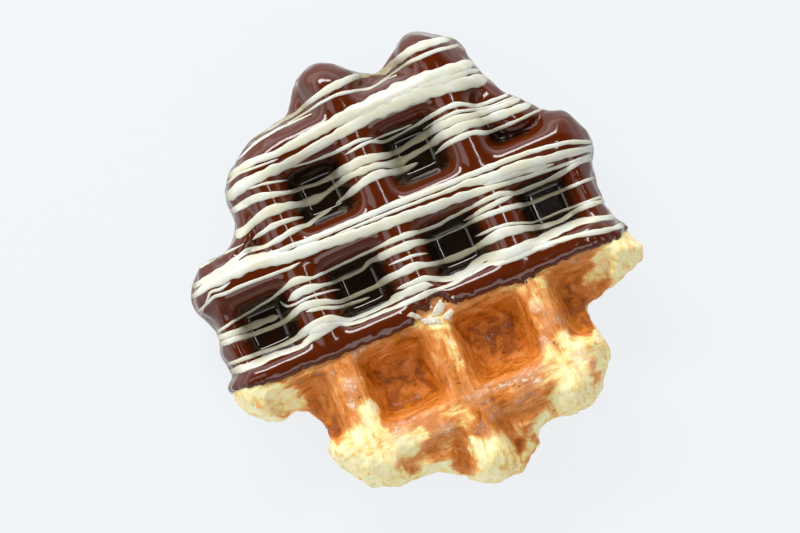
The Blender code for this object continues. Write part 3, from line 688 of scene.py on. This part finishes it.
def drizzle_material(settings):
    """White chocolate: creamy, a little translucent, with a satin gloss."""
    paint = new_finish("white_chocolate")
    tone = paint.lumps(6.0 * MM, 3.0, 0.5)
    ripples = paint.lumps(1.8 * MM, 2.0, 0.5)
    white = paint.mix(tone.rise(0.35, 0.65), settings.cream[:], settings.butter[:])
    # Darker lower down: partly painted shade in the pockets, partly the thin strands letting the dark coat
    # show through.
    height = paint.node("SeparateXYZ", "Z", Vector=paint.node("TexCoord", "Object"))
    white = paint.mix(height.rise(14 * MM, 22 * MM), settings.low[:], white)
    paint.set(Base_Color=white, Roughness=0.34 + (ripples - 0.5) * 0.12, Specular_IOR_Level=0.5)
    paint.set(Subsurface_Weight=0.2, Subsurface_Scale=0.8 * MM, Subsurface_Radius=(1.0, 0.8, 0.5))
    paint.bump(ripples, 0.1 * MM, 0.5)
    return paint.owner


def chip_material(settings):
    """Broken bits of pale glaze, dull and a little grainy."""
    paint = new_finish("broken_glaze")
    grain = paint.lumps(0.8 * MM, 4.0, 0.65)
    glaze = paint.mix(grain.rise(0.35, 0.7), settings.light[:], settings.dull[:])
    paint.set(Base_Color=glaze, Roughness=0.45 + (grain - 0.5) * 0.3, Subsurface_Weight=0.1)
    paint.set(Subsurface_Scale=0.6 * MM, Subsurface_Radius=(1.0, 0.8, 0.5))
    paint.bump(grain, 0.25 * MM, 0.6)
    return paint.owner


def finish(obj, material, node):
    """Gives a piece its one material and smooth shading, joins it to the root body, and hides the part node
    it stands for.
    """
    obj.data.materials.clear()
    obj.data.materials.append(material)
    obj.data.shade_smooth()
    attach(obj, "root")
    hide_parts(node)


# Geometry Nodes


class Grower:
    """A Geometry Nodes tree with named inputs, a method for any node, and a last step to plain mesh."""

    def __init__(self, name, **inputs):
        self.tree = bpy.data.node_groups.new(name, "GeometryNodeTree")
        self.tree.interface.new_socket("Geometry", in_out="INPUT", socket_type="NodeSocketGeometry")
        self.tree.interface.new_socket("Geometry", in_out="OUTPUT", socket_type="NodeSocketGeometry")
        self.values = inputs
        kinds = {float: "Float", int: "Int", tuple: "Vector", bpy.types.Object: "Object"}
        kinds[bpy.types.Material] = "Material"
        self.slots = {
            key: self.tree.interface.new_socket(
                key.replace("_", " "), in_out="INPUT", socket_type="NodeSocket" + kinds[type(value)]
            )
            for key, value in inputs.items()
        }
        self.given = self.tree.nodes.new("NodeGroupInput")
        self.end = self.tree.nodes.new("NodeGroupOutput")

    def input(self, key):
        return Field(self.tree, self.given.outputs[key.replace("_", " ")])

    def node(self, kind, output=0, settings=(), **inputs):
        made = self.tree.nodes.new(kind)
        for key, value in dict(settings).items():
            setattr(made, key, value)
        for key, value in inputs.items():
            slots = [slot for slot in made.inputs if slot.enabled and slot.name == key.replace("_", " ")]
            if isinstance(value, Field):
                self.tree.links.new(value.socket, slots[0])
            else:
                slots[0].default_value = value
        outputs = [slot for slot in made.outputs if slot.enabled]
        return Field(self.tree, outputs[output] if isinstance(output, int) else made.outputs[output])

    def vectors(self, operation, first, second):
        """Adds or subtracts two vectors, or scales the first by a number."""
        made = self.tree.nodes.new("ShaderNodeVectorMath")
        made.operation = operation
        self.tree.links.new(first.socket, made.inputs[0])
        self.tree.links.new(second.socket, made.inputs["Scale" if operation == "SCALE" else 1])
        return Field(self.tree, made.outputs[0])

    def grow(self, obj, geometry):
        """Ends the tree, runs it on the object, and leaves the object with the plain mesh it gives."""
        real = self.node("GeometryNodeRealizeInstances", Geometry=geometry)
        done = self.node("GeometryNodeSetMaterial", Geometry=real, Material=self.input("Material"))
        self.tree.links.new(done.socket, self.end.inputs[0])
        modifier = obj.modifiers.new(self.tree.name, "NODES")
        modifier.node_group = self.tree
        for key, value in self.values.items():
            modifier[self.slots[key].identifier] = value
        apply_modifiers(obj)
        return obj


# Pieces


def length(name, description, default):
    return FloatProperty(name=name, description=description, default=default, unit="LENGTH")


def factor(name, description, default):
    return FloatProperty(
        name=name, description=description, default=default, subtype="FACTOR", min=0.0, max=1.0
    )


class CrustSettings(bpy.types.PropertyGroup):
    cell: length("Cell", "Side of the crust's mesh cells", 0.52 * MM)
    wrinkle: length("Wrinkles", "Height of the flaky wrinkles", 0.28 * MM)
    crag: length("Crags", "Height of the crags on the unpressed rim", 0.45 * MM)
    triangles: IntProperty(
        name="Triangles", description="Most triangles; what the coat hides gives way first", default=190000,
        min=1000,
    )
    unpressed: factor("Unpressed bake", "How brown the swollen dough is", 0.15)
    pressed: factor("Pressed bake", "How much browner the iron left it", 0.585)
    floors: factor("Floor bake", "How much browner still the pocket floors are", 0.17)
    cream: colour("Cream", "Dough that stayed pale", 251, 240, 190)
    straw: colour("Straw", "Dough that just took colour", 248, 227, 154)
    gold: colour("Gold", "Lightly baked crust", 238, 191, 112)
    tan: colour("Tan", "Crust on the ribs", 226, 150, 84)
    brown: colour("Brown", "Crust on the pocket walls", 213, 127, 50)
    russet: colour("Russet", "Crust on the pocket floors", 198, 113, 16)
    dark: colour("Dark", "The darkest crust", 158, 80, 6)
    # Near white mixed into the caramelised glaze spots: a painted highlight.
    sugar: colour("Sugar", "Glaze of melted sugar", 254, 236, 208)


class FlakeSettings(bpy.types.PropertyGroup):
    density: FloatProperty(
        name="Density", description="Flakes for each square metre", default=60000.0, min=0.0
    )
    least: length("Least", "Smallest flake", 0.25 * MM)
    most: length("Most", "Largest flake", 0.7 * MM)
    seed: IntProperty(name="Seed", description="Another seed lays the flakes elsewhere", default=4)


class CoatSettings(bpy.types.PropertyGroup):
    cell: length("Cell", "Side of the coat's mesh cells", 0.5 * MM)
    thickness: length("Thickness", "How far the chocolate stands over the dough", 1.4 * MM)
    crown: length("Crown", "How much more stands along the middle of a rib", 0.4 * MM)
    soak: length("Soak", "How far the chocolate reaches into the dough", 0.5 * MM)
    lip: length("Lip", "Width of the rounded edge", 3.2 * MM)
    flow: IntProperty(name="Flow", description="How far the liquid coat evened itself out", default=9, min=0)
    roughness: factor("Roughness", "Roughness of the set chocolate", 0.1)
    thin: colour("Thin", "Chocolate where the coat is thin", 84, 29, 3)
    # Near-black chocolate for the pocket floors: painted shade in the recesses.
    pooled_in_shade: colour("Pooled", "Chocolate that pooled on the pocket floors", 24, 11, 2)


class DrizzleSettings(bpy.types.PropertyGroup):
    step: length("Step", "Distance between sections", 0.55 * MM)
    spread: FloatProperty(
        name="Spread", description="Width of the strands over the table's", default=1.0, min=0.1
    )
    rise: FloatProperty(name="Rise", description="Height of a strand over its width", default=0.12, min=0.0)
    least: length("Least", "Height of the thinnest strand", 0.1 * MM)
    sink: length("Sink", "Depth of a strand's foot", 0.25 * MM)
    around: IntProperty(name="Around", description="Points round a strand", default=14, min=6)
    cream: colour("Cream", "White chocolate", 215, 216, 205)
    butter: colour("Butter", "White chocolate where it set yellower", 208, 205, 182)
    # Dull colour for drizzle low in the pockets: partly painted shade, partly the thin strand letting the
    # dark coat show through.
    low: colour("Low", "White chocolate that sank in the pockets", 142, 132, 98)


class ChipSettings(bpy.types.PropertyGroup):
    thickness: length("Thickness", "Thickness of a broken bit", 1.1 * MM)
    light: colour("Light", "Broken glaze", 246, 238, 220)
    dull: colour("Dull", "Broken glaze where it is grainy", 214, 198, 168)


class StageSettings(bpy.types.PropertyGroup):
    turn: FloatProperty(
        name="Turn", description="How far the pocket rows are turned in the view", default=math.radians(23.6),
        subtype="ANGLE",
    )
    elevation: FloatProperty(
        name="Elevation", description="Height of the camera over the table", default=math.radians(84.0),
        subtype="ANGLE",
    )
    distance: length("Distance", "Camera to waffle", 0.8)
    width: length("Width", "Width of the view", 195.12 * MM)
    glow: FloatProperty(name="Floor glow", description="Light of the floor itself", default=0.9, min=0.0)


def view_of(settings):
    """The camera's matrix, from the turn and elevation, with VIEW_MIDDLE in the middle of the picture."""
    turn, high = settings.turn, settings.elevation
    aim = Vector((VIEW_MIDDLE[0] - MIDDLE[0], VIEW_MIDDLE[1] - MIDDLE[1], STRAND_PLANE))
    ahead = Vector((math.cos(high) * math.sin(turn), math.cos(high) * math.cos(turn), -math.sin(high)))
    right = Vector((math.cos(turn), -math.sin(turn), 0))
    matrix = Matrix((right, right.cross(ahead), -ahead)).transposed().to_4x4()
    matrix.translation = aim - ahead * settings.distance
    return matrix


def near(points, spots):
    """0 to 1: how close each point is to any of the spots, each with x, y and radius in millimetres."""
    share = np.zeros(len(points))
    for x, y, radius in np.array(spots) * MM:
        away = np.hypot(points[:, 0] - x, points[:, 1] - y) / radius
        share = np.maximum(share, 1 - smoothstep(away * 1.5 - 0.5))
    return share


def from_rib_middle(points):
    """Distances from the middle line of the nearest upright rib and of the nearest level rib."""
    return [
        np.abs((points[:, axis] - RIB_CENTRE[axis] + PITCH / 2) % PITCH - PITCH / 2) for axis in (0, 1)
    ]


class WAFFLE_OT_crust(bpy.types.Operator):
    """Bakes the dough: wrinkled where the iron pressed it, craggy and pale where it swelled free"""

    bl_idname = "waffle.crust"
    bl_label = "Crust"

    def execute(self, context):
        settings = context.scene.waffle_crust
        crust, outline = smooth_dough(settings.cell)
        crust.name = "crust"
        points, out = coordinates(crust.data), normals(crust.data)
        inside, _ = inside_distance(points[:, :2], outline)
        free, pressed = free_and_pressed(points[:, 0], points[:, 1], np.maximum(inside, 0))
        share = pocket_share(points[:, 0], points[:, 1])
        upright_away, level_away = from_rib_middle(points)
        upright = smoothstep((level_away - upright_away) / (4 * MM) + 0.5)
        ragged = fractal(points, 5 * MM, 4, 3.0)
        mottled = fractal(points, 7 * MM, 3, 19.0)
        strayed = points + np.stack((ragged, mottled, ragged), 1) * 3 * MM
        pale, brown = near(strayed, PALE_MM), near(strayed, BROWN_MM)
        top = smoothstep((points[:, 2] - HEIGHT * 0.35) / (HEIGHT * 0.3))
        contact = smoothstep((free - pressed + 1.6 * MM + ragged * 1.5 * MM) / (3.4 * MM))
        contact = np.clip(contact * (1 - 0.9 * pale * top) + brown * top * 0.6, 0, 1)
        past_dip = points[:, 1] - dip_y(points[:, 0])
        bare = 1 - smoothstep(past_dip / (2 * MM) + 0.5)

        level = fractal(points / (5, 1, 2), 1.1 * MM, 4, 7.0)
        standing = fractal(points / (1, 5, 2), 1.1 * MM, 4, 8.0)
        streaks = level + (standing - level) * upright
        crags = fractal(points, 3.6 * MM, 3, 11.0)
        even = smoothstep(share * 3 - 1.8)
        streaks += (fractal(points, 2.2 * MM, 4, 13.0) - streaks) * even
        relief = contact * streaks * settings.wrinkle + (1 - contact) * crags * settings.crag
        under_coat = smoothstep(past_dip / (1.5 * MM)) * 0.25 * MM
        moved = points + out * (relief * (0.2 + 0.8 * bare) - under_coat)[:, None]
        moved[:, 2] = np.maximum(moved[:, 2], SEAT_CUT)
        set_coordinates(crust.data, moved)

        walls = smoothstep(share * 3.0)
        browned = settings.floors * share**4 * (0.2 + 0.8 * smoothstep(inside / FULL_BAKE_INSET))
        baked = settings.unpressed + contact * (settings.pressed + browned + 0.12 * mottled - 0.06 * streaks)
        baked += (1 - contact) * (0.2 * crags + 0.2 * mottled) + 0.16 * brown * top * contact
        baked -= (0.08 * pale + 0.12 * near(strayed, TAN_MM)) * top
        # Caramelised glaze spots, which also carry the painted highlight.
        sugar_highlight_spots = near(points + ragged[:, None] * 0.8 * MM, SUGAR_HIGHLIGHT_MM)
        set_attribute(crust.data, "baked", baked)
        set_attribute(crust.data, "upright", upright)
        set_attribute(crust.data, "even", even)
        glaze_and_highlight = np.clip(sugar_highlight_spots + 0.4 * smoothstep((ragged + mottled) * 1.2), 0, 1) * (1 - walls)
        set_attribute(crust.data, "sugar", glaze_and_highlight * top)
        set_attribute(crust.data, "flaky", bare * np.clip(0.2 + contact, 0, 1) * (points[:, 2] > 8 * MM))
        covered = (past_dip > 3 * MM) & (points[:, 2] > HEIGHT / 3)
        thin_out(crust, settings.triangles, np.flatnonzero(covered))
        to_row_frame(crust)
        finish(crust, crust_material(settings), "waffle")
        return {"FINISHED"}


class WAFFLE_OT_flakes(bpy.types.Operator):
    """Scatters small curled flakes of crust over the bare dough"""

    bl_idname = "waffle.flakes"
    bl_label = "Crust flakes"

    def execute(self, context):
        settings = context.scene.waffle_flakes
        crust = bpy.data.objects["crust"]
        bm = bmesh.new()
        bmesh.ops.create_icosphere(bm, subdivisions=1, radius=1.0)
        for vert in bm.verts:
            curl = 0.35 * vert.co.x**2
            vert.co = (vert.co.x, vert.co.y * 0.6, vert.co.z * 0.16 + curl)
        shape = bpy.data.meshes.new("flake")
        bm.to_mesh(shape)
        bm.free()
        flake = new_object("flake", shape)
        grower = Grower(
            "flakes", Flake=flake, Density=settings.density, Least=settings.least, Most=settings.most,
            Seed=settings.seed, Material=crust.data.materials[0],
        )
        flaky = grower.node("GeometryNodeInputNamedAttribute", Name="flaky")
        spread = grower.node(
            "GeometryNodeDistributePointsOnFaces", 0, Mesh=grower.input("Geometry"),
            Density=grower.input("Density") * flaky, Seed=grower.input("Seed"),
        )
        lying = Field(grower.tree, spread.socket.node.outputs["Rotation"])
        spin = grower.node(
            "FunctionNodeRandomValue", 0, {"data_type": "FLOAT_VECTOR"}, Min=(-0.4, -0.4, 0.0),
            Max=(0.4, 0.4, 6.28), Seed=grower.input("Seed"),
        )
        turned = grower.node(
            "FunctionNodeRotateRotation", 0, {"rotation_space": "LOCAL"}, Rotation=lying, Rotate_By=spin
        )
        size = grower.node(
            "FunctionNodeRandomValue", 0, {"data_type": "FLOAT"}, Min=grower.input("Least"),
            Max=grower.input("Most"), Seed=grower.input("Seed"),
        )
        shape_in = grower.node("GeometryNodeObjectInfo", "Geometry", Object=grower.input("Flake"))
        laid = grower.node(
            "GeometryNodeInstanceOnPoints", 0, Points=spread, Instance=shape_in, Rotation=turned, Scale=size
        )
        flakes = new_object("crust_flakes", crust.data.copy())
        grower.grow(flakes, laid)
        bpy.data.objects.remove(flake)
        finish(flakes, crust.data.materials[0], "waffle")
        return {"FINISHED"}


class WAFFLE_OT_coat(bpy.types.Operator):
    """Dips the waffle: a liquid skin that rounds the ribs, pools in the pockets and ends in a rounded lip"""

    bl_idname = "waffle.coat"
    bl_label = "Chocolate coat"

    def execute(self, context):
        settings = context.scene.waffle_coat
        dough, outline = smooth_dough(settings.cell)
        inner = new_object("inner", dough.data.copy())
        set_coordinates(inner.data, coordinates(inner.data) - normals(inner.data) * settings.soak)
        thin_out(inner, INNER_TRIANGLES)
        coat = dough
        coat.name = "chocolate"
        points = coordinates(coat.data)
        rib_away = np.minimum(*from_rib_middle(points)) / ((PITCH - POCKET_MOUTH) / 2)
        crown = settings.crown * np.clip(1 - rib_away**2, 0, 1)
        set_coordinates(coat.data, points + normals(coat.data) * (settings.thickness + crown)[:, None])
        remesh(coat, settings.cell, settings.flow)

        points, out = coordinates(coat.data), normals(coat.data)
        plan = points * (1, 1, 0)
        wavy, fine = fractal(plan, 4 * MM, 2, 5.0), fractal(plan, 1.2 * MM, 3, 6.0)
        chipped = near(points, CHIPPED_MM)
        lip = settings.lip * (1 - 0.75 * chipped)
        edge = dip_y(points[:, 0]) - (wavy * (0.7 + chipped) + fine * (0.35 + chipped * 0.5)) * MM
        foot = COAT_FOOT + FOOT_WAVE * np.array(
            [noise.noise(Vector((x, y, 0)) / FOOT_WAVE_SIZE) for x, y, _ in points]
        )
        past = np.minimum((points[:, 1] - edge) / lip, (points[:, 2] - foot) / settings.lip)
        rounded = np.clip(past, 0, 1)
        share = rounded * (2 - rounded)
        below = settings.thickness + settings.soak
        sink = (1 - share) * (settings.thickness - 0.5 * MM) - np.clip(past * 4, -1, 0) * below
        set_coordinates(coat.data, points - out * np.minimum(sink, below)[:, None])
        # Painted shade: the depth attribute darkens the chocolate towards the pocket floors, only well inside
        # the outline.
        within, _ = inside_distance(points[:, :2], outline)
        depth = smoothstep(pocket_share(points[:, 0], points[:, 1]) * 2 - 0.8)
        depth *= smoothstep(within / (4 * MM) - 1)
        set_attribute(coat.data, "depth", depth)

        boolean(coat, dip_space(outline), "INTERSECT")
        boolean(coat, inner, "DIFFERENCE")
        keep_main_body(coat)
        to_row_frame(coat)
        finish(coat, chocolate_material(settings), "chocolate_coat")
        return {"FINISHED"}


def dip_space(outline):
    """What is kept of the coat's body: all past the dip line and over the foot, and nothing underneath."""
    bm = bmesh.new()
    bmesh.ops.create_grid(bm, x_segments=160, y_segments=110, size=0.5)
    plan = np.array([vert.co[:2] for vert in bm.verts]) + 0.5
    x = DIP_REACH * (2 * plan[:, 0] - 1)
    front = dip_y(x) - 1.5 * MM
    y = front + plan[:, 1] * (DIP_REACH - front)
    inside, _ = inside_distance(np.stack((x, y), 1), outline)
    climb = smoothstep((inside - SKIRT_DEPTH) / (SKIRT_DEPTH / 3))
    low = COAT_FOOT - FOOT_WAVE - 1.0 * MM
    for vert, px, py, share in zip(bm.verts, x, y, climb):
        vert.co = (px, py, low + (HEIGHT / 2 - low) * share)
    raised = bmesh.ops.extrude_face_region(bm, geom=bm.faces[:])["geom"]
    for item in raised:
        if isinstance(item, bmesh.types.BMVert):
            item.co.z = 2 * HEIGHT
    bmesh.ops.recalc_face_normals(bm, faces=bm.faces)
    mesh = bpy.data.meshes.new("dip_space")
    bm.to_mesh(mesh)
    bm.free()
    return new_object("dip_space", mesh)


class WAFFLE_OT_drizzle(bpy.types.Operator):
    """Lays each strand of white chocolate on the coat, thick in its middle and thin at its tips"""

    bl_idname = "waffle.drizzle"
    bl_label = "Drizzle"

    def execute(self, context):
        settings = context.scene.waffle_drizzle
        coat = bpy.data.objects["chocolate"]
        eye = view_of(context.scene.waffle_stage).translation
        surface = BVHTree.FromPolygons(
            [vert.co[:] for vert in coat.data.vertices], [face.vertices[:] for face in coat.data.polygons]
        )
        bm = bmesh.new()
        width_layer = bm.verts.layers.float.new("width")
        for number, stations in enumerate(STRANDS_MM):
            path, width = strand_path(np.array(stations) * MM, number, settings)
            last = None
            for n, (x, y) in enumerate(path):
                ahead = path[min(n + 1, len(path) - 1)] - path[max(n - 1, 0)]
                side = np.array((-ahead[1], ahead[0])) / np.linalg.norm(ahead) * width[n] / 2
                fitting = [
                    part for part in STRAND_FITS
                    if all(on_coat(surface, eye, path[n] + side * part * way) for way in (-1, 1))
                ]
                if not fitting or not on_coat(surface, eye, path[n]):
                    last = None
                    continue
                vert = bm.verts.new((x, y, 0.0))
                vert[width_layer] = width[n] * max(fitting)
                if last is not None:
                    bm.edges.new((last, vert))
                last = vert
        loners = [vert for vert in bm.verts if not vert.link_edges]
        bmesh.ops.delete(bm, geom=loners, context="VERTS")
        mesh = bpy.data.meshes.new("drizzle")
        bm.to_mesh(mesh)
        bm.free()
        drizzle = new_object("drizzle", mesh)
        lay_strands(drizzle, coat, eye, settings)
        finish(drizzle, drizzle.data.materials[0], "chocolate_coat")
        return {"FINISHED"}


def on_coat(surface, eye, place):
    """Whether the line of sight through a place on the plane of the rib tops meets the coat."""
    target = Vector((place[0], place[1], STRAND_PLANE))
    return surface.ray_cast(eye, (target - eye).normalized())[0] is not None


def one_further(before, last):
    """The station past the last one, straight on."""
    ahead = last - before
    return last + ahead / np.hypot(*ahead[:2]) * STRAND_REACH


def strand_path(stations, number, settings):
    """Close-set places and widths along one strand, run over the side where its end is near the outline."""
    outline = dough_outline(0.0)
    ends = inside_distance(stations[[0, -1], :2], outline)[0] < STRAND_REACH
    rows = list(stations)
    if ends[0]:
        rows.insert(0, one_further(stations[1], stations[0]))
    if ends[1]:
        rows.append(one_further(stations[-2], stations[-1]))
    dense = smooth_through(np.array(rows), 24, closed=False)
    along = np.concatenate(([0], np.cumsum(np.linalg.norm(np.diff(dense[:, :2], axis=0), axis=1))))
    places = np.arange(0, along[-1], settings.step)
    x, y, width = (np.interp(places, along, dense[:, column]) for column in range(3))
    swelling = np.array([noise.noise(Vector((place / (2.4 * MM), number * 5.1, 9))) for place in places])
    wobble = np.array([noise.noise(Vector((place / (3.2 * MM), number * 3.7, 0))) for place in places])
    from_start = np.where(ends[0], np.inf, places)
    from_end = np.where(ends[1], np.inf, places[-1] - places)
    taper = np.sqrt(np.clip(np.minimum(from_start, from_end) / STRAND_TIP + 0.05, 0, 1))
    width = np.maximum(width, THINNEST_STRAND) * settings.spread * (1 + 0.3 * swelling) * taper
    return np.stack((x, y + wobble * 0.14 * MM), 1) - MIDDLE, width


def lay_strands(drizzle, coat, eye, settings):
    """Sweeps a round section along the strands, then lays every point on the coat along the line of sight."""
    grower = Grower(
        "drizzle", Coat=coat, Eye=tuple(eye), Plane=STRAND_PLANE, Around=settings.around, Rise=settings.rise,
        Least=settings.least, Sink=settings.sink, Material=drizzle_material(settings),
    )
    width = grower.node("GeometryNodeInputNamedAttribute", Name="width")
    line = grower.node("GeometryNodeMeshToCurve", Mesh=grower.input("Geometry"))
    level = grower.node("GeometryNodeSetCurveNormal", 0, {"mode": "Z_UP"}, Curve=line)
    ring = grower.node("GeometryNodeCurvePrimitiveCircle", Resolution=grower.input("Around"), Radius=1.0)
    tube = grower.node(
        "GeometryNodeCurveToMesh", Curve=level, Profile_Curve=ring, Scale=width * 0.5, Fill_Caps=True
    )
    place = grower.node("GeometryNodeInputPosition")
    parts = grower.node("ShaderNodeSeparateXYZ", Vector=place)
    x, y, z = (Field(grower.tree, parts.socket.node.outputs[n]) for n in range(3))
    target = grower.node("ShaderNodeCombineXYZ", X=x, Y=y, Z=grower.input("Plane"))
    ahead = grower.vectors("SUBTRACT", target, grower.input("Eye"))
    body = grower.node("GeometryNodeObjectInfo", "Geometry", Object=grower.input("Coat"))
    hit = grower.node(
        "GeometryNodeRaycast", "Hit Position", Target_Geometry=body, Source_Position=grower.input("Eye"),
        Ray_Direction=ahead, Ray_Length=2.0,
    )
    found = Field(grower.tree, hit.socket.node.outputs["Is Hit"])
    out = Field(grower.tree, hit.socket.node.outputs["Hit Normal"])
    beside = grower.node(
        "GeometryNodeProximity", "Position", {"target_element": "FACES"}, Geometry=body,
        Sample_Position=target,
    )
    foot = grower.node(
        "GeometryNodeSwitch", 0, {"input_type": "VECTOR"}, Switch=found, **{"False": beside, "True": hit}
    )
    share = z / (width * 0.5)
    height = grower.input("Least") + grower.input("Rise") * width
    lift = share.most(0.0) * height + share.least(0.0) * grower.input("Sink")
    final = grower.vectors("ADD", foot, grower.vectors("SCALE", out, lift))
    laid = grower.node("GeometryNodeSetPosition", Geometry=tube, Position=final)
    grower.grow(drizzle, laid)


class WAFFLE_OT_chips(bpy.types.Operator):
    """Lays the broken bits of glaze in the chipped place on the middle rib"""

    bl_idname = "waffle.chips"
    bl_label = "Broken glaze"

    def execute(self, context):
        settings = context.scene.waffle_chips
        trees = []
        for name in ("crust", "chocolate"):
            mesh = bpy.data.objects[name].data
            trees.append(
                BVHTree.FromPolygons([v.co[:] for v in mesh.vertices], [f.vertices[:] for f in mesh.polygons])
            )
        bm = bmesh.new()
        for corners in CHIPS_MM:
            top = []
            for x, y, lift in np.array(corners) * MM:
                above = Vector((x - MIDDLE[0], y - MIDDLE[1], 2 * HEIGHT))
                hits = [tree.ray_cast(above, Vector((0, 0, -1)))[0] for tree in trees]
                ground = max(hit.z for hit in hits if hit)
                top.append(bm.verts.new((above.x, above.y, ground + lift)))
            middle = sum((vert.co for vert in top), Vector()) / len(top)
            down = Vector((0, 0, -settings.thickness))
            low = [bm.verts.new(vert.co.lerp(middle, -0.08) + down) for vert in top]
            bm.faces.new(top)
            bm.faces.new(low[::-1])
            for n in range(len(top)):
                bm.faces.new((low[n], low[n - 1], top[n - 1], top[n]))
        bmesh.ops.recalc_face_normals(bm, faces=bm.faces)
        bmesh.ops.bevel(bm, geom=bm.edges[:], offset=0.08 * MM, segments=1, affect="EDGES")
        bmesh.ops.subdivide_edges(bm, edges=bm.edges[:], cuts=2, use_grid_fill=True)
        for vert in bm.verts:
            shift = [noise.noise(vert.co / (0.9 * MM) + Vector((n * 9, 0, 0))) for n in range(3)]
            vert.co += Vector(shift) * 0.15 * MM
        mesh = bpy.data.meshes.new("broken_glaze")
        bm.to_mesh(mesh)
        bm.free()
        finish(new_object("broken_glaze", mesh), chip_material(settings), "chocolate_coat")
        return {"FINISHED"}


class WAFFLE_OT_stage(bpy.types.Operator):
    """Sets the pale floor, the soft light and the camera of the photograph"""

    bl_idname = "waffle.stage"
    bl_label = "Stage"

    def execute(self, context):
        scene = context.scene
        settings = scene.waffle_stage
        camera = bpy.data.objects.new("camera", bpy.data.cameras.new("camera"))
        camera.data.lens = camera.data.sensor_width * settings.distance / settings.width
        camera.matrix_world = view_of(settings)
        scene.collection.objects.link(camera)
        scene.camera = camera

        bm = bmesh.new()
        bmesh.ops.create_grid(bm, x_segments=1, y_segments=1, size=3.0)
        mesh = bpy.data.meshes.new("floor")
        bm.to_mesh(mesh)
        bm.free()
        floor = new_object("floor", mesh)
        paint = new_finish("pale_floor")
        paint.set(Base_Color=linear(80, 80, 80), Roughness=0.9, Emission_Color=linear(241, 245, 248))
        paint.set(Emission_Strength=settings.glow, Specular_IOR_Level=0.0)
        mesh.materials.append(paint.owner)

        sky = Paint(bpy.data.worlds.new("studio"), "Background")
        across, away, way = (
            sky.node("SeparateXYZ", axis, Vector=sky.node("TexCoord", "Generated")) for axis in "XYZ"
        )
        window = (away * 0.8 - across * 0.3 + 0.75).most(0.0)
        sky.set(Color=(0.96, 0.98, 1.0, 1.0), Strength=0.03 + (1 - way.rise(0.0, 0.8)) * (0.5 + window * 1.3))
        scene.world = sky.owner
        for name, place, size, power in LIGHTS:
            light = bpy.data.lights.new(name, "AREA")
            light.shape = "RECTANGLE"
            light.size, light.size_y, light.energy = *size, power
            lamp = bpy.data.objects.new(name, light)
            lamp.location = place
            lamp.rotation_euler = lamp.location.to_track_quat("Z", "Y").to_euler()
            scene.collection.objects.link(lamp)
        scene.view_settings.view_transform = "Standard"
        return {"FINISHED"}


class WAFFLE_PT_panel(bpy.types.Panel):
    """The waffle's settings and steps"""

    bl_idname = "WAFFLE_PT_panel"
    bl_label = "Belgian waffle"
    bl_space_type = "VIEW_3D"
    bl_region_type = "UI"
    bl_category = "Waffle"

    def draw(self, context):
        for name, _, operator in STEPS:
            box = self.layout.box()
            settings = getattr(context.scene, name)
            for key in settings.bl_rna.properties.keys():
                if key not in ("rna_type", "name"):
                    box.prop(settings, key)
            box.operator(operator.bl_idname)


STEPS = (
    ("waffle_stage", StageSettings, WAFFLE_OT_stage),
    ("waffle_crust", CrustSettings, WAFFLE_OT_crust),
    ("waffle_flakes", FlakeSettings, WAFFLE_OT_flakes),
    ("waffle_coat", CoatSettings, WAFFLE_OT_coat),
    ("waffle_drizzle", DrizzleSettings, WAFFLE_OT_drizzle),
    ("waffle_chips", ChipSettings, WAFFLE_OT_chips),
)


def register():
    for name, settings, operator in STEPS:
        bpy.utils.register_class(settings)
        bpy.utils.register_class(operator)
        setattr(bpy.types.Scene, name, PointerProperty(type=settings))
    bpy.utils.register_class(WAFFLE_PT_panel)


def unregister():
    bpy.utils.unregister_class(WAFFLE_PT_panel)
    for name, settings, operator in reversed(STEPS):
        delattr(bpy.types.Scene, name)
        bpy.utils.unregister_class(operator)
        bpy.utils.unregister_class(settings)


def main():
    register()
    for _, _, operator in STEPS:
        group, step = operator.bl_idname.split(".")
        getattr(getattr(bpy.ops, group), step)()


if __name__ == "__main__":
    main()
